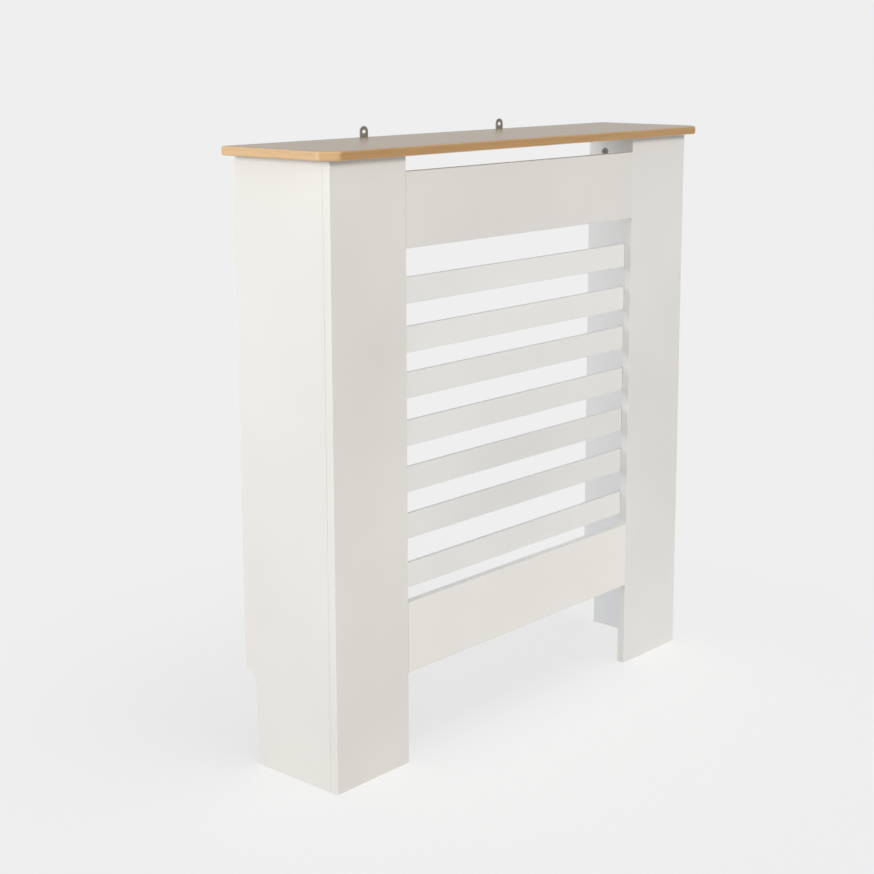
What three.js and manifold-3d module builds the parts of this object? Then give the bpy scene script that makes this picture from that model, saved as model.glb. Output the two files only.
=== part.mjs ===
// A radiator cover: a slatted front frame and two side panels under a shelf, which stands on the floor
// against a wall, over a radiator. It packs flat: the shelf and the two stiles are drawn onto the side
// panels by eccentric cams that turn round the heads of cam bolts.
//
// Millimetres, +Z up. While it is built, x = 0 is the middle of the cover, y = 0 the front of the frame,
// with +y towards the wall, and z = 0 the floor. The group at the end moves the origin to the middle of
// the whole cover, on the floor.

import * as THREE from "three";
import { mergeVertices } from "three/addons/utils/BufferGeometryUtils.js";
import Module from "manifold-3d";

const wasm = await Module();
wasm.setup();

// ---------------------------------------------------------------------------------- driving sizes

// The whole cover
const coverHeight = 820; // floor to the top of the shelf
const bodyWidth = 760; // over the outer faces of the side panels
const bodyDepth = 170; // front of the frame to the back edges

// Boards
const shelfThickness = 12;
const panelThickness = 12;
const frameThickness = 12; // stiles and rails
const slatThickness = 6;
const boardArris = 0.8; // radius on the long edges of the painted boards

// Shelf
const shelfOverhang = 20; // past the frame in front and past the side panels
const shelfClip = 20; // legs of the clipped front corners
const shelfClipRadius = 4; // where a clip runs out into the edges
const shelfArris = 2.4; // radius on the upper and lower edges

// Front frame
const stileWidth = 135;
const topRailHeight = 97;
const bottomRailHeight = 97;
const topAirGap = 21; // shelf to top rail, where the warm air leaves
const bottomAirGap = 125.5; // floor to bottom rail, where the cool air enters

// Slats, screwed to the backs of the stiles
const slatHeight = 34.25;
const slatLap = 40; // over the back of each stile
const firstSlatDrop = 39; // top rail to the first slat's upper edge
const slatPitch = 63.25; // upper edge to upper edge, if all were even
const slatLifts = [0, -0.75, 2.5, 2.25, 3.5, 3.75, 0]; // above the even place, as laid by hand

// Cut-out for the skirting board in the lower back corner of each side panel
const skirtingDepth = 21.5;
const skirtingHeight = 131;
const skirtingSlope = 0.62; // fall of the sloping top, per millimetre away from the wall
const skirtingNose = 7.5; // length of the round between the slope and the upright

// Cam fittings
const camRadius = 6;
const camSetback = 32; // edge of the board to the axis of the cam
const camFloor = 2; // board left behind the cam
const camSink = 0.2; // head of the cam below the face of the board
const camThrow = 0.45; // how far the pocket is off the axis
const camRecessWidth = 1.1;
const camRecessLength = 6.4;
const camRecessDepth = 1.7;
const shelfCamInset = 30.5; // front and back edges of a side panel to its shelf cams
const stileCamInset = 120; // lower and upper ends of a side panel to its stile cams
const boltHeadRadius = 2.7;
const boltNeckRadius = 1.5;
const boltShankRadius = 3;
const boltBite = 9; // into the board that the bolt is screwed into

// Dowels between rails and stiles
const dowelRadius = 3;
const dowelLength = 30;
const dowelInset = 19; // upper and lower edges of a rail to its dowels
const dowelChamfer = 0.8;

// Screws
const screwRadius = 1.75;
const screwHeadRadius = 3.4;
const slatScrewLength = 14;
const slatScrewInset = 20; // inner edge of a stile to the slat screws
const bracketScrewLength = 10;
const screwHeadHeight = 2.1; // of the round head on a bracket screw
const screwPoint = 3; // length of the tapered tip
const screwRecessWidth = 0.8;
const screwRecessLength = 3.6;
const screwRecessDepth = 1.3;

// Wall brackets
const bracketSpacing = 288; // centre to centre
const bracketWidth = 15;
const bracketThickness = 1.5;
const bracketRise = 14.6; // above the top of the shelf
const bracketReach = 27; // under the shelf
const bracketSlotLength = 7.6; // lets the cover be shifted along the wall
const bracketSlotHeight = 4.8;
const bracketBend = 1.2; // inner radius of the bend
const bracketScrewInsets = [8.5, 20]; // back edge of the shelf to the screws

// Facets round a circle
const camSides = 24;
const pinSides = 10;
const pocketSides = 16; // of the ball-shaped pocket in a cam
const pocketRings = 6;

// Clearances
const fitGap = 0.15; // round a pin, screw or cam in its hole
const endGap = 0.4; // past the end of a pin or screw in its hole

// Cutting
const overrun = 1; // how far a cutter starts or ends outside the piece that it cuts

// ------------------------------------------------------------------------------ places that follow

const panelTop = coverHeight - shelfThickness;
const panelFace = bodyWidth / 2 - panelThickness; // inner faces of the side panels, at plus and minus
const stileInner = bodyWidth / 2 - stileWidth;
const topRailUpper = panelTop - topAirGap;
const topRailLower = topRailUpper - topRailHeight;
const bottomRailUpper = bottomAirGap + bottomRailHeight;
const slatBack = frameThickness + slatThickness;
const slatHalfLength = stileInner + slatLap;
const slatUppers = slatLifts.map(
  (lift, i) => topRailLower - firstSlatDrop - i * slatPitch + lift,
);
const camLevel = panelThickness / 2 - camSink; // head of the cam to the axis of the bolt
const camLength = panelThickness - camFloor - camSink - fitGap;
const countersink = screwHeadRadius - screwRadius; // depth of a right-angled countersunk head

const sides = [
  { word: "left", sign: -1 },
  { word: "right", sign: 1 },
];

// -------------------------------------------------------------------------------------- materials

const paint = { color: 0xe6e4dd, roughness: 0.45, metalness: 0 };
const laminate = { color: 0xcda071, roughness: 0.4, metalness: 0 };
const zinc = { color: 0x8f8d84, roughness: 0.4, metalness: 0.9 };
const steel = { color: 0xa3a29c, roughness: 0.35, metalness: 1 };
const beech = { color: 0xd8b98c, roughness: 0.75, metalness: 0 };

// ---------------------------------------------------------------------------------------- helpers

const axisX = new THREE.Vector3(1, 0, 0);
const axisY = new THREE.Vector3(0, 1, 0);
const axisZ = new THREE.Vector3(0, 0, 1);

// Exact quarter turns. A section drawn in (y, z) runs along x, one in (z, x) along y, one in (x, y)
// along z.
const alongX = new THREE.Matrix4().makeBasis(axisY, axisZ, axisX);
const alongY = new THREE.Matrix4().makeBasis(axisZ, axisX, axisY);
const alongZ = new THREE.Matrix4();

// A closed geometry as a solid. Its corners are set on a grid of a thousandth of a millimetre, so that
// boards that meet share one plane.
function solid(geometry) {
  const bare = geometry.clone();
  bare.deleteAttribute("normal");
  bare.deleteAttribute("uv");
  const places = bare.getAttribute("position");
  places.array.forEach((value, i) => (places.array[i] = Math.round(value * 1000) / 1000));
  const merged = mergeVertices(bare);
  return new wasm.Manifold(
    new wasm.Mesh({
      numProp: 3,
      vertProperties: merged.getAttribute("position").array,
      triVerts: new Uint32Array(merged.index.array),
    }),
  );
}

// A solid as a geometry with flat faces.
function faceted(body) {
  const { vertProperties, triVerts } = body.getMesh();
  const geometry = new THREE.BufferGeometry();
  geometry.setAttribute("position", new THREE.BufferAttribute(vertProperties, 3));
  geometry.setIndex(new THREE.BufferAttribute(triVerts, 1));
  const flat = geometry.toNonIndexed();
  flat.computeVertexNormals();
  return flat;
}

// A solid with each of the cutters taken out of it.
function cut(body, cutters) {
  return cutters.reduce((rest, cutter) => rest.subtract(cutter), body);
}

// A shape that runs from one place to another along an axis, with plain ends.
function prism(shape, turn, from, to, curveSegments = 1) {
  const geometry = new THREE.ExtrudeGeometry(shape, {
    depth: 1,
    bevelEnabled: false,
    curveSegments,
  });
  const stretch = new THREE.Matrix4().makeScale(1, 1, to - from).setPosition(0, 0, from);
  geometry.applyMatrix4(stretch).applyMatrix4(turn);
  return solid(geometry);
}

// The same with a quarter round on the rims of both ends.
function roundedPrism(shape, turn, from, to, radius, bevelSegments) {
  const geometry = new THREE.ExtrudeGeometry(shape, {
    depth: to - from - 2 * radius,
    bevelThickness: radius,
    bevelSize: radius,
    bevelOffset: -radius,
    bevelSegments,
    curveSegments: 4,
  });
  geometry.translate(0, 0, from + radius).applyMatrix4(turn);
  return solid(geometry);
}

// A rectangle with round corners, between two opposite corners.
function roundedRectangle(left, low, right, high, radius) {
  const shape = new THREE.Shape();
  shape.absarc(right - radius, high - radius, radius, 0, Math.PI / 2);
  shape.absarc(left + radius, high - radius, radius, Math.PI / 2, Math.PI);
  shape.absarc(left + radius, low + radius, radius, Math.PI, 1.5 * Math.PI);
  shape.absarc(right - radius, low + radius, radius, 1.5 * Math.PI, 2 * Math.PI);
  return shape;
}

// A plain rectangle, between two opposite corners.
function rectangle(left, low, right, high) {
  return new THREE.Shape([
    new THREE.Vector2(left, low),
    new THREE.Vector2(right, low),
    new THREE.Vector2(right, high),
    new THREE.Vector2(left, high),
  ]);
}

// The radius of a hole of so many sides whose flats still clear a round pin.
function holeRadius(pinRadius, sideCount) {
  return (pinRadius + fitGap) / Math.cos(Math.PI / sideCount);
}

// A round solid about the z axis, from a profile of [radius, height] points that goes up.
function turned(profile, sideCount = pinSides) {
  const points = profile.map(([radius, height]) => new THREE.Vector2(radius, height));
  return solid(new THREE.LatheGeometry(points, sideCount).applyMatrix4(alongX));
}

// A cutter for a round hole that starts at a point and goes a depth along a direction.
function drill(start, direction, radius, depth, sideCount = pinSides) {
  const geometry = new THREE.CylinderGeometry(radius, radius, depth, sideCount);
  geometry.translate(0, depth / 2, 0);
  return solid(placed(geometry, start, direction));
}

// A geometry whose y axis is laid along a direction, from a start point.
function placed(geometry, start, direction) {
  const turn = new THREE.Quaternion().setFromUnitVectors(axisY, direction);
  return geometry.applyMatrix4(
    new THREE.Matrix4().compose(start, turn, new THREE.Vector3(1, 1, 1)),
  );
}

// Two crossed grooves in a screw or cam head whose top is at height zero.
function crossRecess(length, width, depth) {
  const groove = (along, across) =>
    prism(rectangle(-along / 2, -across / 2, along / 2, across / 2), alongZ, -depth, overrun);
  return groove(length, width).add(groove(width, length));
}

function mesh(name, geometry, look) {
  const part = new THREE.Mesh(geometry, new THREE.MeshStandardMaterial(look));
  part.name = name;
  return part;
}

// A mesh whose own z axis points out of the board that it sits in, and whose own x axis runs along
// another direction.
function seated(part, position, out, along) {
  const across = new THREE.Vector3().crossVectors(out, along);
  part.quaternion.setFromRotationMatrix(new THREE.Matrix4().makeBasis(along, across, out));
  part.position.copy(position);
  return part;
}

// ---------------------------------------------------------------------------------- cam positions

// Each fitting has a cam in the inner face of a side panel and a bolt that comes to it through the
// edge of the panel, from the shelf or from a stile.
function fittingsOf({ word, sign }) {
  const x = sign * panelFace;
  const inward = new THREE.Vector3(-sign, 0, 0);
  const shelfFittings = [
    ["front", frameThickness + shelfCamInset],
    ["rear", bodyDepth - shelfCamInset],
  ].map(([end, y]) => ({
    name: `${word}_${end}`,
    board: "shelf",
    face: new THREE.Vector3(x, y, panelTop - camSetback),
    inward,
    toBoard: axisZ,
  }));
  const stileFittings = [
    ["lower", stileCamInset],
    ["upper", panelTop - stileCamInset],
  ].map(([end, z]) => ({
    name: `${word}_${end}`,
    board: "stile",
    face: new THREE.Vector3(x, frameThickness + camSetback, z),
    inward,
    toBoard: axisY.clone().negate(),
  }));
  return [...shelfFittings, ...stileFittings];
}

// The point on a bolt's axis at a distance from the axis of its cam.
function onBolt(fitting, distance) {
  return fitting.face
    .clone()
    .addScaledVector(fitting.inward, -panelThickness / 2)
    .addScaledVector(fitting.toBoard, distance);
}

// The blind hole for a bolt's thread in the shelf or stile.
function boltHole(fitting) {
  const start = onBolt(fitting, camSetback - overrun);
  const radius = holeRadius(boltShankRadius, pinSides);
  return drill(start, fitting.toBoard, radius, overrun + boltBite + endGap);
}

// ------------------------------------------------------------------------------------------ boards

// The shelf, with clipped front corners and a soft arris all round.
function shelf(fittings) {
  const halfWidth = bodyWidth / 2 + shelfOverhang;
  const front = -shelfOverhang;
  const corners = [
    [halfWidth, bodyDepth, 0],
    [-halfWidth, bodyDepth, 0],
    [-halfWidth, front + shelfClip, shelfClipRadius],
    [-halfWidth + shelfClip, front, shelfClipRadius],
    [halfWidth - shelfClip, front, shelfClipRadius],
    [halfWidth, front + shelfClip, shelfClipRadius],
  ];
  const outline = softened(corners.map(([x, y, radius]) => [new THREE.Vector2(x, y), radius]));
  const screwHoles = bracketPlaces().flatMap(({ x }) =>
    bracketScrewInsets.map((inset) =>
      drill(
        new THREE.Vector3(x, bodyDepth - inset, panelTop - overrun),
        axisZ,
        holeRadius(screwRadius, pinSides),
        overrun + bracketScrewLength - bracketThickness + endGap,
      ),
    ),
  );
  const body = roundedPrism(outline, alongZ, panelTop, coverHeight, shelfArris, 3);
  const boltHoles = fittings.filter(({ board }) => board === "shelf").map(boltHole);
  return mesh("top_shelf", faceted(cut(body, [...screwHoles, ...boltHoles])), laminate);
}

// An outline through corner points, each softened by a curve that starts and ends a radius away.
function softened(corners) {
  const shape = new THREE.Shape();
  corners.forEach(([corner, radius], i) => {
    const before = corners.at(i - 1)[0];
    const after = corners[(i + 1) % corners.length][0];
    const start = corner.clone().add(before.clone().sub(corner).setLength(radius));
    const end = corner.clone().add(after.clone().sub(corner).setLength(radius));
    if (i === 0) shape.moveTo(start.x, start.y);
    else shape.lineTo(start.x, start.y);
    if (radius > 0) shape.quadraticCurveTo(corner.x, corner.y, end.x, end.y);
  });
  return shape;
}

// A side panel: its outline with the skirting cut-out, drawn in (y, z), the pockets of its cams and
// the holes that lead their bolts to them.
function sidePanel({ word, sign }, fittings) {
  const noseTop = skirtingHeight - skirtingSlope * skirtingDepth;
  const noseAlong = skirtingNose / Math.hypot(1, skirtingSlope);
  const upright = bodyDepth - skirtingDepth;
  const outline = new THREE.Shape();
  outline.moveTo(frameThickness, 0);
  outline.lineTo(upright, 0);
  outline.lineTo(upright, noseTop - skirtingNose);
  outline.quadraticCurveTo(
    upright,
    noseTop,
    upright + noseAlong,
    noseTop + skirtingSlope * noseAlong,
  );
  outline.lineTo(bodyDepth, skirtingHeight);
  outline.lineTo(bodyDepth, panelTop);
  outline.lineTo(frameThickness, panelTop);
  const ends = [sign * panelFace, (sign * bodyWidth) / 2].sort((a, b) => a - b);
  const body = roundedPrism(outline, alongX, ...ends, boardArris, 2);
  const cutters = fittings.flatMap((fitting) => [camPocket(fitting), boltWay(fitting)]);
  return mesh(`${word}_side_panel`, faceted(cut(body, cutters)), paint);
}

// The round blind hole that a cam sits in.
function camPocket({ face, inward }) {
  const mouth = face.clone().addScaledVector(inward, overrun);
  const depth = overrun + panelThickness - camFloor;
  const radius = holeRadius(camRadius, camSides);
  return drill(mouth, inward.clone().negate(), radius, depth, camSides);
}

// The hole from a cam's pocket to the edge of the panel.
function boltWay(fitting) {
  return drill(
    onBolt(fitting, 0),
    fitting.toBoard,
    holeRadius(boltShankRadius, pinSides),
    camSetback + overrun,
  );
}

// A stile, with holes in its back for the bolts and the slat screws, and in its inner edge for the
// dowels of both rails.
function stile({ word, sign }, fittings) {
  const edges = [sign * stileInner, (sign * bodyWidth) / 2].sort((a, b) => a - b);
  const section = roundedRectangle(edges[0], 0, edges[1], frameThickness, boardArris);
  const body = prism(section, alongZ, 0, panelTop);
  const boltHoles = fittings.filter(({ board }) => board === "stile").map(boltHole);
  const screwHoles = slatUppers.map((upper) => {
    const place = slatScrewPlace(sign, upper);
    return drill(
      place,
      axisY.clone().negate(),
      holeRadius(screwRadius, pinSides),
      slatScrewLength + endGap,
    );
  });
  const dowelHoles = dowelPlaces()
    .filter((place) => place.sign === sign)
    .map(dowelHole);
  const holes = [...boltHoles, ...screwHoles, ...dowelHoles];
  return mesh(`${word}_stile`, faceted(cut(body, holes)), paint);
}

// A rail between the stiles, with dowel holes in its ends.
function rail(name, lower, upper) {
  const section = roundedRectangle(0, lower, frameThickness, upper, boardArris);
  const body = prism(section, alongX, -stileInner, stileInner);
  const holes = dowelPlaces()
    .filter((place) => place.rail === name)
    .map(dowelHole);
  return mesh(name, faceted(cut(body, holes)), paint);
}

// A slat behind the stiles, with a countersunk screw hole at each end.
function slat(upper, number) {
  const section = roundedRectangle(
    frameThickness,
    upper - slatHeight,
    slatBack,
    upper,
    boardArris,
  );
  const body = prism(section, alongX, -slatHalfLength, slatHalfLength);
  const holes = sides.map(({ sign }) => countersunkHole(slatScrewPlace(sign, upper)));
  return mesh(`slat_${number}`, faceted(cut(body, holes)), paint);
}

// ---------------------------------------------------------------------------------------- fittings

// A cam, its axis on z and its head at height zero, in the locked position, with its bolt along +x.
// The pocket for the bolt's head is a ball set off the axis, so its wall is nearest the head when the
// cam is locked and falls away from it as the cam turns. The slot lets the neck of the bolt pass for
// half a turn, and ends in the round mouth that the head goes in by.
function camGeometry() {
  const body = turned(
    [
      [0, -camLength],
      [camRadius, -camLength],
      [camRadius, -0.4],
      [camRadius - 0.4, 0],
      [0, 0],
    ],
    camSides,
  );
  const bolt = new THREE.Vector3(0, 0, -camLevel);
  const flatness = Math.cos(Math.PI / pocketSides) * Math.cos(Math.PI / 2 / pocketRings);
  const pocketRadius = (boltHeadReach() + fitGap) / flatness + camThrow;
  const pocket = new THREE.SphereGeometry(pocketRadius, pocketSides, pocketRings);
  pocket.applyMatrix4(alongX).translate(-camThrow, 0, -camLevel);
  const mouth = drill(bolt, axisX.clone().negate(), boltHeadRadius + 2 * fitGap, 2 * camRadius);
  const half = new THREE.Shape();
  half.absarc(0, 0, camRadius + overrun, Math.PI, 2 * Math.PI);
  const slotHalf = boltNeckRadius + fitGap;
  const slotEnds = [-camLevel - slotHalf, -camLevel + slotHalf];
  const halfTurn = prism(half, alongZ, ...slotEnds, 6);
  const lockedEnd = prism(
    rectangle(0, -slotHalf, camRadius + overrun, slotHalf),
    alongZ,
    ...slotEnds,
  );
  const recess = crossRecess(camRecessLength, camRecessWidth, camRecessDepth);
  return faceted(cut(body, [solid(pocket), mouth, halfTurn, lockedEnd, recess]));
}

// The farthest that a bolt's head comes from the axis of its cam.
function boltHeadReach() {
  return Math.hypot(boltHeadRadius, boltHeadRadius / 4);
}

// A cam bolt along z: height zero is the axis of its cam, and the head's round shoulder is part of a
// ball about that point.
function boltGeometry() {
  const reach = boltHeadReach();
  const shoulderStart = Math.acos(boltHeadRadius / reach);
  const shoulderEnd = Math.acos(boltNeckRadius / reach);
  const shoulder = [0, 1, 2].map((step) => {
    const angle = THREE.MathUtils.lerp(shoulderStart, shoulderEnd, step / 2);
    return [reach * Math.cos(angle), reach * Math.sin(angle)];
  });
  const shankStart = camRadius + 4 * fitGap;
  const end = camSetback + boltBite;
  return faceted(
    turned(
      [
        [0, -0.8],
        [boltHeadRadius - 0.5, -0.8],
        [boltHeadRadius, -0.3],
        ...shoulder,
        [boltNeckRadius, shankStart],
        [boltShankRadius - 0.4, shankStart + 0.4],
        [boltShankRadius - 0.4, camSetback - 2],
        [boltShankRadius, camSetback - 2],
        [boltShankRadius, end - 1],
        [boltShankRadius - 1, end],
        [0, end],
      ],
    ),
  );
}

function dowelPlaces() {
  const rails = [
    { rail: "top_rail", lower: topRailLower, upper: topRailUpper },
    { rail: "bottom_rail", lower: bottomAirGap, upper: bottomRailUpper },
  ];
  return rails.flatMap(({ rail, lower, upper }) =>
    sides.flatMap(({ word, sign }) =>
      [
        { row: "lower", z: lower + dowelInset },
        { row: "upper", z: upper - dowelInset },
      ].map(({ row, z }) => ({
        name: `${rail}_dowel_${word}_${row}`,
        rail,
        sign,
        middle: new THREE.Vector3(sign * stileInner, frameThickness / 2, z),
      })),
    ),
  );
}

// The hole for a dowel, through the joint, half of it in the rail and half in the stile.
function dowelHole({ middle }) {
  const half = dowelLength / 2 + endGap;
  const start = middle.clone().addScaledVector(axisX, -half);
  return drill(start, axisX, holeRadius(dowelRadius, pinSides), 2 * half);
}

function dowelGeometry() {
  const half = dowelLength / 2;
  return faceted(
    turned(
      [
        [0, -half],
        [dowelRadius - dowelChamfer, -half],
        [dowelRadius, -half + dowelChamfer],
        [dowelRadius, half - dowelChamfer],
        [dowelRadius - dowelChamfer, half],
        [0, half],
      ],
    ),
  );
}

function slatScrewPlace(sign, upper) {
  return new THREE.Vector3(
    sign * (stileInner + slatScrewInset),
    slatBack,
    upper - slatHeight / 2,
  );
}

// The hole for a countersunk screw whose head lies in the back face of a slat.
function countersunkHole(place) {
  const radius = holeRadius(screwRadius, pinSides);
  const mouth = radius + countersink + fitGap;
  const sink = mouth - radius;
  const hole = turned(
    [
      [0, -slatThickness - overrun],
      [radius, -slatThickness - overrun],
      [radius, -sink],
      [mouth, 0],
      [mouth, overrun],
      [0, overrun],
    ],
  );
  const out = new THREE.Matrix4().makeBasis(axisZ, axisX, axisY).setPosition(place);
  return hole.transform([...out.elements]);
}

// A countersunk screw along z, its flat head at height zero.
function slatScrewGeometry() {
  const body = turned(
    [
      [0, -slatScrewLength],
      [screwRadius, -slatScrewLength + screwPoint],
      [screwRadius, -countersink - 0.2],
      [screwHeadRadius, -0.2],
      [screwHeadRadius, 0],
      [0, 0],
    ],
  );
  return faceted(
    body.subtract(crossRecess(screwRecessLength, screwRecessWidth, screwRecessDepth)),
  );
}

// A round-headed screw along z, its head standing on height zero.
function bracketScrewGeometry() {
  const body = turned(
    [
      [0, -bracketScrewLength],
      [screwRadius, -bracketScrewLength + screwPoint],
      [screwRadius, 0],
      [screwHeadRadius, 0],
      [screwHeadRadius, screwHeadHeight * 0.4],
      [screwHeadRadius * 0.72, screwHeadHeight * 0.85],
      [screwHeadRadius * 0.4, screwHeadHeight],
      [0, screwHeadHeight],
    ],
  );
  const recess = crossRecess(screwRecessLength, screwRecessWidth, screwRecessDepth);
  return faceted(body.subtract(recess.translate([0, 0, screwHeadHeight])));
}

// ---------------------------------------------------------------------------------- wall brackets

function bracketPlaces() {
  return sides.map(({ word, sign }) => ({ word, x: (sign * bracketSpacing) / 2 }));
}

// A wall bracket: a strip bent round the lower back corner of the shelf. One leg lies under the
// shelf, and the other stands behind it with its round end and wall screw slot above the shelf.
function bracket({ word, x }) {
  const back = bodyDepth + bracketThickness;
  const under = panelTop - bracketThickness;
  const top = coverHeight + bracketRise;
  const front = bodyDepth - bracketReach;
  const outer = bracketBend + bracketThickness;
  const bend = new THREE.Shape();
  bend.moveTo(front, under);
  bend.lineTo(back - outer, under);
  bend.absarc(back - outer, under + outer, outer, -Math.PI / 2, 0);
  bend.lineTo(back, top);
  bend.lineTo(bodyDepth, top);
  bend.lineTo(bodyDepth, under + outer);
  bend.absarc(back - outer, under + outer, bracketBend, 0, -Math.PI / 2, true);
  bend.lineTo(front, panelTop);
  const half = bracketWidth / 2;
  const strip = prism(bend, alongX, x - half, x + half, 2);
  const standing = new THREE.Shape();
  standing.moveTo(under, x + half);
  standing.lineTo(under, x - half);
  standing.absarc(top - half, x, half, -Math.PI / 2, Math.PI / 2);
  const lying = new THREE.Shape();
  lying.moveTo(x + half, back);
  lying.lineTo(x - half, back);
  lying.absarc(x, front + half, half, Math.PI, 2 * Math.PI);
  const ends = prism(standing, alongY, front, back, 6).intersect(
    prism(lying, alongZ, under, top, 6),
  );
  const slotRound = bracketSlotHeight / 2;
  const slotHalf = bracketSlotLength / 2;
  const level = top - half;
  const slot = roundedRectangle(
    level - slotRound,
    x - slotHalf,
    level + slotRound,
    x + slotHalf,
    slotRound,
  );
  const wallSlot = prism(slot, alongY, bodyDepth - overrun, back + overrun, 2);
  const screwHoles = bracketScrewInsets.map((inset) =>
    drill(
      new THREE.Vector3(x, bodyDepth - inset, under - overrun),
      axisZ,
      holeRadius(screwRadius, pinSides) + fitGap,
      bracketThickness + 2 * overrun,
    ),
  );
  const body = strip.intersect(ends);
  return mesh(`${word}_wall_bracket`, faceted(cut(body, [wallSlot, ...screwHoles])), zinc);
}

// ---------------------------------------------------------------------------------------- the cover

const cover = new THREE.Group();
const allFittings = sides.flatMap(fittingsOf);

cover.add(shelf(allFittings));
for (const side of sides) {
  const fittings = fittingsOf(side);
  cover.add(sidePanel(side, fittings), stile(side, fittings));
}
cover.add(rail("top_rail", topRailLower, topRailUpper));
cover.add(rail("bottom_rail", bottomAirGap, bottomRailUpper));
slatUppers.forEach((upper, i) => cover.add(slat(upper, i + 1)));

const cam = camGeometry();
const bolt = boltGeometry();
for (const fitting of allFittings) {
  const head = fitting.face.clone().addScaledVector(fitting.inward, -camSink);
  const camMesh = mesh(`${fitting.board}_cam_${fitting.name}`, cam, zinc);
  cover.add(seated(camMesh, head, fitting.inward, fitting.toBoard));
  const boltMesh = mesh(`${fitting.board}_bolt_${fitting.name}`, bolt, steel);
  cover.add(seated(boltMesh, onBolt(fitting, 0), fitting.toBoard, fitting.inward));
}

const dowel = dowelGeometry();
for (const { name, middle } of dowelPlaces()) {
  cover.add(seated(mesh(name, dowel, beech), middle, axisX, axisZ));
}

const slatScrew = slatScrewGeometry();
slatUppers.forEach((upper, i) => {
  for (const { word, sign } of sides) {
    const screw = mesh(`slat_${i + 1}_screw_${word}`, slatScrew, steel);
    cover.add(seated(screw, slatScrewPlace(sign, upper), axisY, axisZ));
  }
});

const bracketScrew = bracketScrewGeometry();
for (const place of bracketPlaces()) {
  cover.add(bracket(place));
  bracketScrewInsets.forEach((inset, i) => {
    const screw = mesh(`${place.word}_bracket_screw_${i + 1}`, bracketScrew, steel);
    const head = new THREE.Vector3(place.x, bodyDepth - inset, panelTop - bracketThickness);
    cover.add(seated(screw, head, axisZ.clone().negate(), axisX));
  });
}

// The origin goes to the middle of the space that the whole cover takes, from the front edge of the
// shelf to the backs of the wall brackets.
cover.position.y = -(bodyDepth + bracketThickness - shelfOverhang) / 2;

export default cover;
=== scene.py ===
# %% [markdown]
# # A radiator cover in a studio
# The cover is a flat-pack piece: white painted boards under an oak-effect shelf, drawn together by cams.
# Its boards, screws and cams are already solid, in metres, with +Z up and +Y towards the wall. This
# lesson dresses them: it sets up the camera and the studio, makes one material for each finish, and
# gives each board the small differences that real boards have, along with painted light and shade in
# some of its whites.

import math

import bpy
from mathutils import Matrix, Vector

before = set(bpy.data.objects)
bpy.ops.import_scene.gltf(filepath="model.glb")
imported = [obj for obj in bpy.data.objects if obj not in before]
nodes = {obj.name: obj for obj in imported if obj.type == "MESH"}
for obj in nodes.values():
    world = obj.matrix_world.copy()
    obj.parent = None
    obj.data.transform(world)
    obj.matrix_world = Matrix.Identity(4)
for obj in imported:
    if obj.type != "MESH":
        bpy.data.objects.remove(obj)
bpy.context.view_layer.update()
MM = 0.001

# %% [markdown]
# ## Small helpers
# Colours are easiest to pick as the hex values of a paint chart. Blender's sockets want linear light, so
# one function turns them. Sizes are easiest to think of in millimetres, while a noise texture wants to
# know how often it repeats in a metre, so another turns those.
#
# A third adds a node with its settings and its links in one call, which keeps a material's recipe short
# enough to read. It finds a socket by its name, or by its number where several share a name. In a mix, 0
# is the share of the second of the two. In a Map Range node, 1 and 2 are the range that comes in, and 3
# and 4 the range that goes out, which is 0 to 1 where nothing is said. A fourth starts each material with
# one Principled surface, which can stand for paint, wood or metal.


# %% Colours, sizes and nodes
def linear(hex_colour):
    """A paint-chart colour such as 0xE9E7E0 as linear red, green, blue and alpha."""
    channels = [(hex_colour >> shift & 0xFF) / 255 for shift in (16, 8, 0)]
    return [c / 12.92 if c <= 0.04045 else ((c + 0.055) / 1.055) ** 2.4 for c in channels] + [1.0]


def per_metre(size_mm):
    """How many times a pattern of this size fits in a metre."""
    return 1 / (size_mm * MM)


def add(tree, kind, inputs=None, **settings):
    """Adds a node. Inputs are keyed by socket name or number: a value is set, a socket is linked."""
    node = tree.nodes.new("ShaderNode" + kind)
    for name, value in settings.items():
        setattr(node, name, value)
    for key, value in (inputs or {}).items():
        if isinstance(value, bpy.types.NodeSocket):
            tree.links.new(value, node.inputs[key])
        else:
            node.inputs[key].default_value = value
    return node


def new_finish(name, surface):
    """A material with one Principled surface. Returns the material, its tree and the surface node."""
    material = bpy.data.materials.new(name)
    material.use_nodes = True
    tree = material.node_tree
    tree.nodes.clear()
    shader = add(tree, "BsdfPrincipled", surface)
    add(tree, "OutputMaterial", {"Surface": shader.outputs["BSDF"]})
    return material, tree, shader


print("off-white paint in linear light:", [round(c, 3) for c in linear(0xE9E7E0)[:3]])

# %% [markdown]
# ## The camera
# The cover stands at an angle, seen from the height of a person who sits, with a long lens. A view
# camera keeps the uprights upright by sliding its lens instead of tilting it. Here the camera tilts a
# little and slides a little, which keeps the uprights nearly straight and still leaves the cover in the
# picture when the same camera walks round it.

# %% Place the camera
LENS_MM = 69.86
SENSOR_MM = 36
LENS_SLIDE = -0.10  # share of the picture's width, which lifts the cover in the frame
CAMERA_PLACE = Vector((-1.8099, -1.5215, 0.9489))
CAMERA_TURN = math.radians(48.299)  # from straight ahead, +Y, towards +X
CAMERA_TILT = math.radians(10.337)  # downwards
CAMERA_ROLL = math.radians(-0.135)

level = Vector((math.sin(CAMERA_TURN), math.cos(CAMERA_TURN), 0))
ahead = level * math.cos(CAMERA_TILT) + Vector((0, 0, -math.sin(CAMERA_TILT)))
side = ahead.cross(Vector((0, 0, 1))).normalized()
side = Matrix.Rotation(-CAMERA_ROLL, 3, ahead) @ side
up = side.cross(ahead)

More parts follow.
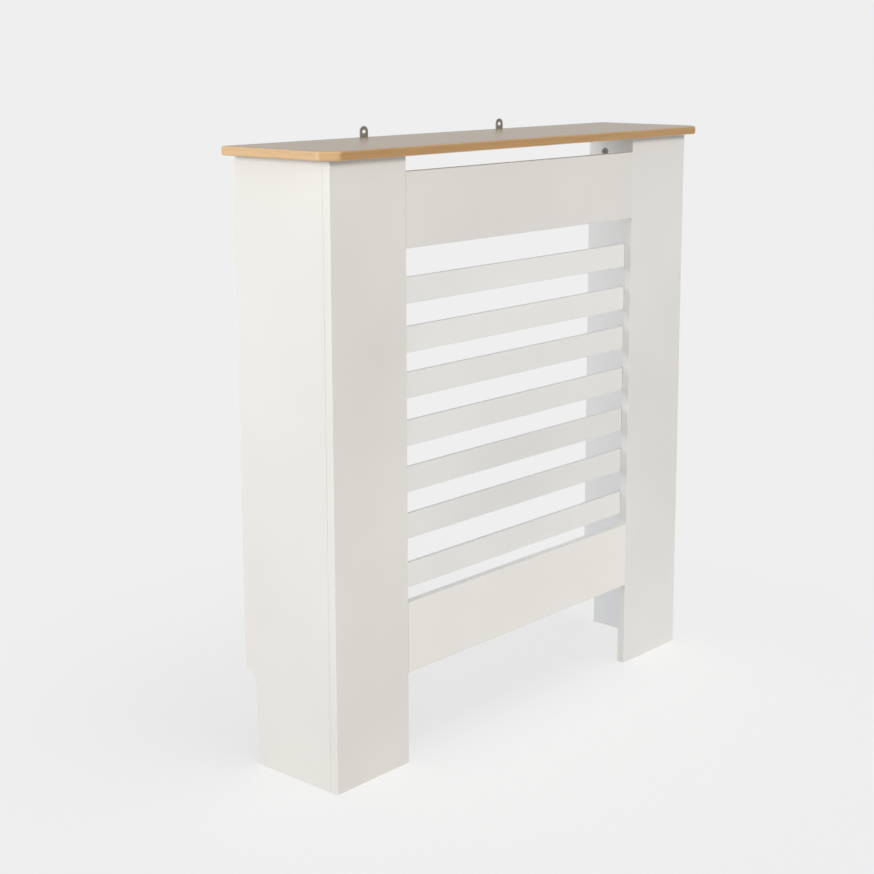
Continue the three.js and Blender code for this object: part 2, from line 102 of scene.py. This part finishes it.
camera = bpy.data.objects.new("camera", bpy.data.cameras.new("camera"))
bpy.context.scene.collection.objects.link(camera)
camera.data.lens = LENS_MM
camera.data.sensor_width = SENSOR_MM
camera.data.shift_y = LENS_SLIDE
camera.matrix_world = Matrix.Translation(CAMERA_PLACE) @ Matrix((side, up, -ahead)).transposed().to_4x4()
bpy.context.scene.camera = camera
bpy.context.scene.view_settings.view_transform = "Standard"

# %% [markdown]
# ## The studio
# A product photographer stands such a piece on a seamless sweep of pale paper, under a dark ceiling, with
# soft boxes round it. Here a wide round floor and the world share one pale grey, so no line shows where
# one ends. Eyes and mirrors see that grey, and everything else is lit by a dome. The dome is dimmer
# overhead, which makes level faces a step darker, and a little brighter on the left, where a white wall
# would throw the key light back.

# %% World
BACKDROP = 0xEFEFEF
DOME_COLOUR = 0xFAFCFF  # a little cool, like daylight
DOME_LOW = 0.77  # strength of the dome at the horizon
DOME_HIGH = 0.205  # and overhead
DOME_LEAN = 0.30  # the share by which it is brighter on the left, at -X, and dimmer on the right


def seen_directly(tree):
    """1 for rays from the camera, a mirror or glass, 0 for rays that gather light."""
    path = add(tree, "LightPath")
    direct = add(tree, "Math", {0: path.outputs["Is Camera Ray"], 1: path.outputs["Is Glossy Ray"]})
    total = {0: direct.outputs[0], 1: path.outputs["Is Transmission Ray"]}
    return add(tree, "Math", total, use_clamp=True).outputs[0]


studio = bpy.data.worlds.new("studio")
bpy.context.scene.world = studio
studio.use_nodes = True
dome = studio.node_tree
dome.nodes.clear()
towards = add(dome, "SeparateXYZ", {0: add(dome, "TexCoord").outputs["Generated"]})
height = add(dome, "MapRange", {0: towards.outputs["Z"], 3: DOME_LOW, 4: DOME_HIGH}).outputs[0]
lean = {0: towards.outputs["X"], 1: -DOME_LEAN, 2: 1.0}
lean = add(dome, "Math", lean, operation="MULTIPLY_ADD").outputs[0]
strength = add(dome, "Math", {0: height, 1: lean}, operation="MULTIPLY").outputs[0]
fill = add(dome, "Background", {"Color": linear(DOME_COLOUR), "Strength": strength}).outputs[0]
backdrop = add(dome, "Background", {"Color": linear(BACKDROP)}).outputs[0]
sky = add(dome, "MixShader", {0: seen_directly(dome), 1: fill, 2: backdrop}).outputs[0]
add(dome, "OutputWorld", {"Surface": sky})
print(f"dome from {DOME_LOW} at the horizon to {DOME_HIGH} overhead")

# %% [markdown]
# ## The floor
# Photographers light the paper round a pale piece until only a hint of its shadow is left. The floor does
# that with a sum. Near the cover, the eye gets some of the matt paper, which takes the cover's shadow,
# and on top of it a glow that makes the open paper just as bright as the backdrop. Further out the matt
# share fades away and only the glow is left. The matt paper also throws its light back onto the cover.

# %% Floor
FLOOR_RADIUS = 40.0
FLOOR_SIDES = 96
PAPER_WHITE = 0xF2F2F2
MATT_SHARE = 0.52  # near the cover
MATT_TO, GLOW_FROM = 0.40, 0.95  # m from the middle, where the matt share starts to fade and where it ends
OPEN_PAPER = 0.615  # brightness of matt paper in the open, as a share of the backdrop's

bpy.ops.mesh.primitive_circle_add(vertices=FLOOR_SIDES, radius=FLOOR_RADIUS, fill_type="NGON")
floor = bpy.context.object
floor.name = "floor"
floor_paper = bpy.data.materials.new("lit_paper_floor")
floor_paper.use_nodes = True
sheet = floor_paper.node_tree
sheet.nodes.clear()
spot = add(sheet, "TexCoord").outputs["Object"]
reach = add(sheet, "VectorMath", {0: spot}, operation="LENGTH").outputs["Value"]
fade = {0: reach, 1: MATT_TO, 2: GLOW_FROM, 3: MATT_SHARE, 4: 0.0}
matt_share = add(sheet, "MapRange", fade, interpolation_type="SMOOTHSTEP").outputs[0]
missing = {0: matt_share, 1: -OPEN_PAPER, 2: 1.0}
missing = add(sheet, "Math", missing, operation="MULTIPLY_ADD").outputs[0]
matt = add(sheet, "BsdfDiffuse", {"Color": linear(PAPER_WHITE)}).outputs[0]
glow = add(sheet, "Emission", {"Color": linear(BACKDROP), "Strength": missing}).outputs[0]
thin = add(sheet, "MixShader", {0: matt_share, 2: matt}).outputs[0]
seen = add(sheet, "AddShader", {0: thin, 1: glow}).outputs[0]
paper = add(sheet, "MixShader", {0: seen_directly(sheet), 1: matt, 2: seen}).outputs[0]
add(sheet, "OutputMaterial", {"Surface": paper})
floor.data.materials.append(floor_paper)
print(f"floor {2 * FLOOR_RADIUS:.0f} m wide")

# %% [markdown]
# ## Two kinds of lamp
# A soft box is a lit panel: the larger it is, the softer the shadow's edge. A sun's light is the same
# everywhere, and here its disc is far wider than the real one, which makes it soft too. Both are turned
# towards the middle of the cover.

# %% Lamp helpers
AIM = Vector((0, 0, 0.45))  # the middle of the cover
WARM_WHITE = 0xFFFCF8
COOL_WHITE = 0xFDFFFF
SUN_DISTANCE = 4  # m, of the suns' symbols; their light is the same from anywhere


def lamp(name, kind, place, energy, colour):
    """A lamp at a place, turned towards the cover."""
    data = bpy.data.lights.new(name, kind)
    data.energy = energy
    data.color = linear(colour)[:3]
    made = bpy.data.objects.new(name, data)
    bpy.context.scene.collection.objects.link(made)
    made.location = place
    made.rotation_mode = "QUATERNION"
    made.rotation_quaternion = (AIM - place).to_track_quat("-Z", "Y")
    return made


def soft_box(name, place, size_m, watts):
    """A box of cool light, wide and high in metres."""
    made = lamp(name, "AREA", place, watts, COOL_WHITE)
    made.data.shape = "RECTANGLE"
    made.data.size, made.data.size_y = size_m
    return made


def soft_sun(name, direction, watts, width_deg):
    """A warm sun whose wide disc gives soft shadows. Its watts are per square metre."""
    made = lamp(name, "SUN", AIM + SUN_DISTANCE * direction, watts, WARM_WHITE)
    made.data.angle = math.radians(width_deg)
    return made


print("the lamps aim", round(AIM.z, 2), "m above the floor")

# %% [markdown]
# ## The lamps
# The key light is a large soft box high on the left and a little behind. It makes the side panel the
# brightest face, reaches through the open back to the far panel's inner face, and draws a bright line
# down the corner of the shelf. A soft sun, about 21 degrees up in front, lights the frame and lays the
# short shadow of the shelf on it. It stands nearly square to the frame, so that the stiles lay no shadow
# on the slats behind them. A low fill box on the right, a little behind, keeps the far side from going
# grey.
#
# These three would also lay shadows on the paper. Light linking keeps them off it, and the paper gets a
# wide lamp of its own, nearly overhead. So the one soft shadow lies under the cover and just behind it.

# %% Set the lamps
KEY_PLACE = Vector((-2.9, 0.55, 1.28))
KEY_SIZE_M = (1.6, 1.0)
KEY_WATTS = 44.0
FILL_PLACE = Vector((2.5, 0.7, 0.35))
FILL_SIZE_M = (1.6, 0.6)
FILL_WATTS = 15.0
SUN_FROM = Vector((-0.05, -0.93, 0.36))
SUN_WATTS = 1.29
SUN_WIDTH = 18  # degrees, of its disc
PAPER_FROM = Vector((0.10, -0.25, 0.97))
PAPER_WATTS = 0.6
PAPER_WIDTH = 40

off_the_paper = bpy.data.collections.new("off_the_paper")
off_the_paper.objects.link(floor)
off_the_paper.collection_objects[0].light_linking.link_state = "EXCLUDE"
on_the_paper = bpy.data.collections.new("on_the_paper")
on_the_paper.objects.link(floor)

key_box = soft_box("key_soft_box", KEY_PLACE, KEY_SIZE_M, KEY_WATTS)
fill_box = soft_box("fill_soft_box", FILL_PLACE, FILL_SIZE_M, FILL_WATTS)
front_sun = soft_sun("front_sun", SUN_FROM, SUN_WATTS, SUN_WIDTH)
for made in (key_box, fill_box, front_sun):
    made.light_linking.receiver_collection = off_the_paper
paper_sun = soft_sun("paper_sun", PAPER_FROM, PAPER_WATTS, PAPER_WIDTH)
paper_sun.light_linking.receiver_collection = on_the_paper
key_level = KEY_WATTS / (math.pi * (AIM - KEY_PLACE).length ** 2)
print(f"key {key_level:.2f} and sun {SUN_WATTS:.2f} W per square metre")

# %% [markdown]
# ## The shade of a painted board
# The panels, stiles, rails and slats are fibreboard under a satin white finish. Paint like this isn't one
# flat colour: it drifts a shade over a board, and it is a little duller along the arrises, where it is
# thinnest. Edges that look up are painted a lighter white, a painted highlight that makes up for the light
# from above that the shelf and the slats keep off them. A picture of paint could be laid on instead, but
# noise in three dimensions runs round the corners without seams and needs no unwrapping.
#
# A bevel node finds the arrises: close to an edge, its rounded normal differs from the true one. Faces
# that look inwards are found from the place and the normal, and a board can have a lighter white there:
# painted light that lifts the shade those faces lie in.

# %% Shade of a board
DRIFT_MM = 260  # how far apart a shade lighter and a shade darker lie
DRIFT_NOISE = (0.35, 0.65)  # noise values that give the darker and the lighter shade
DRIFT_LAYERS = 2.0  # each layer of noise is twice as fine as the one before
ARRIS_MM = 1.6
ARRIS_SAMPLES = 4
ARRIS_COSINE = (0.99, 0.80)  # between the true and the rounded normal, from full coat to thinnest
THIN_ARRIS = 0xE8E6E2
# painted highlight: a lighter white on edges that look up, standing in for light from above
UPPER_EDGE_HIGHLIGHT = 0xF9F8F5
LOOKS_UP = 0.7  # least height of the normal of an upper edge
LOOKS_IN = -0.2  # metres from the middle times cosine: below this a face looks towards the middle


def board_shade(tree, coordinates, light, dark, inner):
    """The colour of a board: two drifting shades, thin arrises, and painted light on upper and inward
    faces.
    """
    where, normal = coordinates.outputs["Object"], coordinates.outputs["Normal"]
    drift = {"Vector": where, "Scale": per_metre(DRIFT_MM), "Detail": DRIFT_LAYERS}
    drift = add(tree, "TexNoise", drift).outputs[0]
    spread = add(tree, "MapRange", {0: drift, 1: DRIFT_NOISE[0], 2: DRIFT_NOISE[1]}).outputs[0]
    shade = add(tree, "MixRGB", {0: spread, 1: linear(dark), 2: linear(light)}).outputs[0]
    if inner:
        sideways = add(tree, "VectorMath", {0: where, 1: (1, 0, 0)}, operation="MULTIPLY").outputs[0]
        outwards = add(tree, "VectorMath", {0: sideways, 1: normal}, operation="DOT_PRODUCT")
        looks_in = {0: outwards.outputs["Value"], 1: LOOKS_IN}
        looks_in = add(tree, "Math", looks_in, operation="LESS_THAN").outputs[0]
        shade = add(tree, "MixRGB", {0: looks_in, 1: shade, 2: linear(inner)}).outputs[0]
    facing = add(tree, "SeparateXYZ", {0: normal})
    looks_up = {0: facing.outputs["Z"], 1: LOOKS_UP}
    looks_up = add(tree, "Math", looks_up, operation="GREATER_THAN").outputs[0]
    shade = add(tree, "MixRGB", {0: looks_up, 1: shade, 2: linear(UPPER_EDGE_HIGHLIGHT)}).outputs[0]
    rounded = add(tree, "Bevel", {"Radius": ARRIS_MM * MM}, samples=ARRIS_SAMPLES).outputs[0]
    true_normal = add(tree, "NewGeometry").outputs["Normal"]
    same = add(tree, "VectorMath", {0: rounded, 1: true_normal}, operation="DOT_PRODUCT")
    edge = {0: same.outputs["Value"], 1: ARRIS_COSINE[0], 2: ARRIS_COSINE[1]}
    edge = add(tree, "MapRange", edge).outputs[0]
    return add(tree, "MixRGB", {0: edge, 1: shade, 2: linear(THIN_ARRIS)}).outputs[0]


print(f"the paint drifts a shade within {DRIFT_MM} mm")

# %% [markdown]
# ## Satin paint
# Sprayed paint dries with a fine orange-peel texture. Its crests scatter a little more light than its
# hollows, so one noise drives both the bump and the gloss. The eye reads that as a soft, slightly broken
# sheen. The slats are a touch less glossy than the boards.

# %% Paint
PAINT_IOR = 1.48  # acrylic
BOARD_GLOSS = 0.42  # roughness of satin paint
SLAT_GLOSS = 0.44
PEEL_MM = 3.0  # real orange peel is about 1 mm, drawn coarser so that it shows
PEEL_LAYERS = 1.0
PEEL_DEPTH_MM = 0.3
PEEL_BUMP = 0.05
PEEL_GLOSS = (-0.04, 0.05)  # how much smoother its hollows are, and how much rougher its crests


def paint(name, light, dark, roughness, inner=None):
    """Satin white paint that drifts between two shades. Faces that look inwards can get a painted lighter
    white.
    """
    material, tree, shader = new_finish(name, {"IOR": PAINT_IOR})
    coordinates = add(tree, "TexCoord")
    shade = board_shade(tree, coordinates, light, dark, inner)
    tree.links.new(shade, shader.inputs["Base Color"])
    peel = {"Vector": coordinates.outputs["Object"], "Scale": per_metre(PEEL_MM), "Detail": PEEL_LAYERS}
    peel = add(tree, "TexNoise", peel).outputs[0]
    smooth, rough = (roughness + step for step in PEEL_GLOSS)
    gloss = add(tree, "MapRange", {0: peel, 3: smooth, 4: rough}).outputs[0]
    tree.links.new(gloss, shader.inputs["Roughness"])
    bump = {"Height": peel, "Strength": PEEL_BUMP, "Distance": PEEL_DEPTH_MM * MM}
    bump = add(tree, "Bump", bump).outputs[0]
    tree.links.new(bump, shader.inputs["Normal"])
    return material


print(f"orange peel of {PEEL_MM} mm, roughness {BOARD_GLOSS}")

# %% [markdown]
# ## One white for each board
# Each kind of board has its own white, a step warmer or greyer than the next, and the slats differ among
# themselves as well. The steps between them are painted light and shade: the whites follow how brightly
# each board is lit, so the bottom rail, the upper slats and the right stile are lighter, and slats 5 and
# 6 darker. The light and the dark shade of each paint were matched by measure to a photograph of the real
# cover.

# %% Mix the paints
# painted light: lighter whites on the stiles' inner edges and the panels' inner faces lift their shade
LIGHTENED_STILE_REVEAL = 0xF2F1ED  # the stiles' edges that look at the slats
# the panels' inner white is painted light, and also cooler, like a plain backer
LIGHTENED_PANEL_INSIDE = 0xF0F0F0
# painted light and shade: each board's white follows how brightly that board is lit
panel_paint = paint("satin_white_paint_side_panels", 0xE4E0DA, 0xE0DCD6, BOARD_GLOSS, LIGHTENED_PANEL_INSIDE)
left_stile_paint = paint("satin_white_paint_left_stile", 0xE5E2DC, 0xDEDBD5, BOARD_GLOSS, LIGHTENED_STILE_REVEAL)
right_stile_paint = paint("satin_white_paint_right_stile", 0xE7E5E1, 0xE0DEDA, BOARD_GLOSS, LIGHTENED_STILE_REVEAL)
top_rail_paint = paint("satin_white_paint_top_rail", 0xE5E2DD, 0xDFDCD7, BOARD_GLOSS)
bottom_rail_paint = paint("satin_white_paint_bottom_rail", 0xEFECE7, 0xE9E6E1, BOARD_GLOSS)
pale_slat_paint = paint("satin_white_paint_slats_pale", 0xEDECE8, 0xE7E6E2, SLAT_GLOSS)
mid_slat_paint = paint("satin_white_paint_slats_mid", 0xEAE9E5, 0xE4E3DF, SLAT_GLOSS)
deep_slat_paint = paint("satin_white_paint_slats_deep", 0xE7E6E2, 0xE0DFDB, SLAT_GLOSS)
print("paints:", [m.name for m in bpy.data.materials if "paint" in m.name])

# %% [markdown]
# ## The run of the grain
# The shelf is board with printed oak laminate on both faces and a band of the same oak round its edges,
# because a board that is faced on one side only would warp. The grain runs along the shelf on its faces,
# and along each edge on the band. On a face, a point's place in the grain is its own place. On the band
# it is how far along the edge it lies, and its height, so the grain follows the clipped corners too.
# Unwrapping the shelf by hand would do the same with more work.

# %% Place in the grain
LEVEL_FACE = 0.75  # least height of the normal, up or down, of a face that isn't part of the band
BAND_SLICE = 0.4  # m, where the band is cut from the pattern, well away from the faces' part


def grain_place(tree, place, normal, is_level):
    """Where a point lies in the grain, whose length is X."""
    tangent = add(tree, "VectorMath", {0: normal, 1: (0, 0, 1)}, operation="CROSS_PRODUCT").outputs[0]
    along = add(tree, "VectorMath", {0: place, 1: tangent}, operation="DOT_PRODUCT").outputs["Value"]
    height = add(tree, "SeparateXYZ", {0: place}).outputs["Z"]
    band = add(tree, "CombineXYZ", {0: along, 1: height, 2: BAND_SLICE}).outputs[0]
    return add(tree, "Mix", {0: is_level, 4: band, 5: place}, data_type="VECTOR").outputs[1]


def stretched_noise(tree, vector, size_mm, layers):
    """Noise whose marks have a length along X and a width across it."""
    length, width = size_mm
    scale = (per_metre(length), per_metre(width), per_metre(width))
    scaled = add(tree, "VectorMath", {0: vector, 1: scale}, operation="MULTIPLY").outputs[0]
    return add(tree, "TexNoise", {"Vector": scaled, "Scale": 1.0, "Detail": layers}).outputs[0]


print(f"the band of oak is cut {BAND_SLICE} m into the pattern")

# %% [markdown]
# ## Oak-effect laminate
# Printed oak shows long soft streaks, and short dark pores on top of them. The seal coat is satin: seen
# at a low angle it greys the oak, as on the top of the shelf. There are three pairs of tones, and the
# steps between them are painted light and shade. The ends, which face the key light, are paler. The long
# edges, which face away from it, are darker. The faces are darker still, to make up for the grey sheen
# of the seal coat on the top.

# %% Oak laminate
OAK_IOR = 1.5
OAK_GLOSS = 0.30  # roughness of the satin seal coat
STREAK_MM = (90, 2.4)  # length and width
STREAK_LAYERS = 3.0
STREAK_NOISE = (0.30, 0.70)  # noise values that give the dark and the light tone
PORE_MM = (26, 0.9)  # real pores are about a third as wide, drawn coarser so that they show
PORE_LAYERS = 1.0
PORE_NOISE = (0.60, 0.72)  # noise values where a pore starts and where it is deepest
PORE_STRENGTH = 0.30  # share of the pore's colour at its deepest
PORE_BROWN = 0x94703F
PORE_BUMP = 0.08
PORE_DEPTH_MM = 0.2
LONG_EDGE = (0.65, 0.99)  # how squarely an edge looks forwards or back, from end tone to long-edge tone
# painted light and shade: paler oak on the ends facing the key, darker on the long edges and the faces
LIT_END_OAK = (0xDAB689, 0xD0A879)  # light and dark
SHADED_EDGE_OAK = (0xBC935D, 0xB1854E)
SHADED_FACE_OAK = (0xAD9372, 0x977D5C)


def oak_laminate():
    """Printed oak, its grain along x on the faces and along the edge on the band."""
    material, tree, shader = new_finish("oak_effect_laminate", {"IOR": OAK_IOR, "Roughness": OAK_GLOSS})
    coordinates = add(tree, "TexCoord")
    place, normal = coordinates.outputs["Object"], coordinates.outputs["Normal"]
    facing = add(tree, "SeparateXYZ", {0: normal})
    upright = add(tree, "Math", {0: facing.outputs["Z"]}, operation="ABSOLUTE").outputs[0]
    is_level = add(tree, "Math", {0: upright, 1: LEVEL_FACE}, operation="GREATER_THAN").outputs[0]
    grain = grain_place(tree, place, normal, is_level)
    streaks = stretched_noise(tree, grain, STREAK_MM, STREAK_LAYERS)
    pores = stretched_noise(tree, grain, PORE_MM, PORE_LAYERS)
    spread = add(tree, "MapRange", {0: streaks, 1: STREAK_NOISE[0], 2: STREAK_NOISE[1]}).outputs[0]

    def tone(light, dark):
        return add(tree, "MixRGB", {0: spread, 1: linear(dark), 2: linear(light)}).outputs[0]

    lengthways = add(tree, "Math", {0: facing.outputs["Y"]}, operation="ABSOLUTE").outputs[0]
    is_long = add(tree, "MapRange", {0: lengthways, 1: LONG_EDGE[0], 2: LONG_EDGE[1]}).outputs[0]
    edges = add(tree, "MixRGB", {0: is_long, 1: tone(*LIT_END_OAK), 2: tone(*SHADED_EDGE_OAK)}).outputs[0]
    oak = add(tree, "MixRGB", {0: is_level, 1: edges, 2: tone(*SHADED_FACE_OAK)}).outputs[0]
    pore = add(tree, "MapRange", {0: pores, 1: PORE_NOISE[0], 2: PORE_NOISE[1], 4: PORE_STRENGTH})
    wood = add(tree, "MixRGB", {0: pore.outputs[0], 1: oak, 2: linear(PORE_BROWN)}).outputs[0]
    tree.links.new(wood, shader.inputs["Base Color"])
    bump = {"Height": pores, "Strength": PORE_BUMP, "Distance": PORE_DEPTH_MM * MM}
    bump = add(tree, "Bump", bump).outputs[0]
    tree.links.new(bump, shader.inputs["Normal"])
    return material


shelf_oak = oak_laminate()
print("laminate:", shelf_oak.name)

# %% [markdown]
# ## Metals
# The brackets are steel strip under dull zinc plate, the cams are die-cast zinc, and the screws and bolts
# are bright zinc-plated steel. All are metals, so their colour is the colour of their reflections. What
# tells them apart is how rough they are. Dull plate shows only a broad grey sheen, cast zinc is darker
# and grainy from its mould, and bright plate shows small highlights. The plating is never quite even:
# clouds of one to three millimetres shift the colour, the roughness and the surface together.

# %% Zinc and steel
CLOUD_LAYERS = 3.0
CLOUD_GLOSS = 0.08  # how far the roughness goes up and down
CLOUD_BUMP = 0.15
CLOUD_DEPTH_MM = 0.1


def plated(name, light, dark, cloud_mm, roughness):
    """A metal whose surface is cloudy at a given scale."""
    material, tree, shader = new_finish(name, {"Metallic": 1.0})
    where = add(tree, "TexCoord").outputs["Object"]
    cloud = {"Vector": where, "Scale": per_metre(cloud_mm), "Detail": CLOUD_LAYERS}
    cloud = add(tree, "TexNoise", cloud).outputs[0]
    shade = add(tree, "MixRGB", {0: cloud, 1: linear(dark), 2: linear(light)}).outputs[0]
    tree.links.new(shade, shader.inputs["Base Color"])
    rough = {0: cloud, 3: roughness - CLOUD_GLOSS, 4: roughness + CLOUD_GLOSS}
    rough = add(tree, "MapRange", rough).outputs[0]
    tree.links.new(rough, shader.inputs["Roughness"])
    bump = {"Height": cloud, "Strength": CLOUD_BUMP, "Distance": CLOUD_DEPTH_MM * MM}
    bump = add(tree, "Bump", bump).outputs[0]
    tree.links.new(bump, shader.inputs["Normal"])
    return material


bracket_zinc = plated("dull_zinc_plated_steel", 0xA8A69C, 0x78766B, cloud_mm=2.5, roughness=0.42)
cam_zinc = plated("die_cast_zinc", 0x8C8B86, 0x5A5956, cloud_mm=1.5, roughness=0.46)
screw_zinc = plated("bright_zinc_plated_steel", 0xC4C4BE, 0x9F9F98, cloud_mm=2.0, roughness=0.28)
print("metals:", bracket_zinc.name, cam_zinc.name, screw_zinc.name)

# %% [markdown]
# ## Beech dowels
# The dowels between rails and stiles are plain beech. They sit inside the boards, but they get their
# finish all the same: pale pink-brown wood, turned and left bare, so it is matt, with short dark flecks
# along its length.

# %% Beech
BEECH_IOR = 1.5
BEECH_GLOSS = 0.7
FLECK_MM = (6.25, 1.11)  # real flecks are about half as large, drawn coarser so that they show
FLECK_LAYERS = 2.0
BEECH_LIGHT = 0xDDBB8E
BEECH_DARK = 0xB98F63


def beech():
    """Bare beech, its flecks along x."""
    material, tree, shader = new_finish("bare_beech", {"IOR": BEECH_IOR, "Roughness": BEECH_GLOSS})
    where = add(tree, "TexCoord").outputs["Object"]
    flecks = stretched_noise(tree, where, FLECK_MM, FLECK_LAYERS)
    shade = add(tree, "MixRGB", {0: flecks, 1: linear(BEECH_DARK), 2: linear(BEECH_LIGHT)}).outputs[0]
    tree.links.new(shade, shader.inputs["Base Color"])
    return material


dowel_beech = beech()
print("wood:", dowel_beech.name)

# %% [markdown]
# ## Dress the pieces
# Each piece gets its finish by the name of its kind: the first word in the list that its name holds.
# Curved faces are smoothed, and edges sharper than a set angle stay crisp, so the arrises catch a soft
# line of light. Smoothing alone would also bend the light over the flat faces beside them, as on a
# pillow. Weighted normals keep those faces flat, because each corner leans towards its largest face.

# %% Give every piece its finish
FINISHES = [
    ("cam", cam_zinc),
    ("bolt", screw_zinc),
    ("screw", screw_zinc),
    ("dowel", dowel_beech),
    ("wall_bracket", bracket_zinc),
    ("top_shelf", shelf_oak),
    ("side_panel", panel_paint),
    ("left_stile", left_stile_paint),
    ("right_stile", right_stile_paint),
    ("top_rail", top_rail_paint),
    ("bottom_rail", bottom_rail_paint),
    ("slat_1", pale_slat_paint),
    ("slat_2", pale_slat_paint),
    ("slat_5", deep_slat_paint),
    ("slat_6", deep_slat_paint),
    ("slat", mid_slat_paint),
]
SMOOTH_ANGLE = math.radians(50)

for name, piece in nodes.items():
    finish = next(material for word, material in FINISHES if word in name)
    piece.data.materials.clear()
    piece.data.materials.append(finish)
    piece.data.shade_smooth()
    piece.data.set_sharp_from_angle(angle=SMOOTH_ANGLE)
    piece.modifiers.new("flat_faces_stay_flat", "WEIGHTED_NORMAL").keep_sharp = True
print(f"{len(nodes)} pieces dressed")
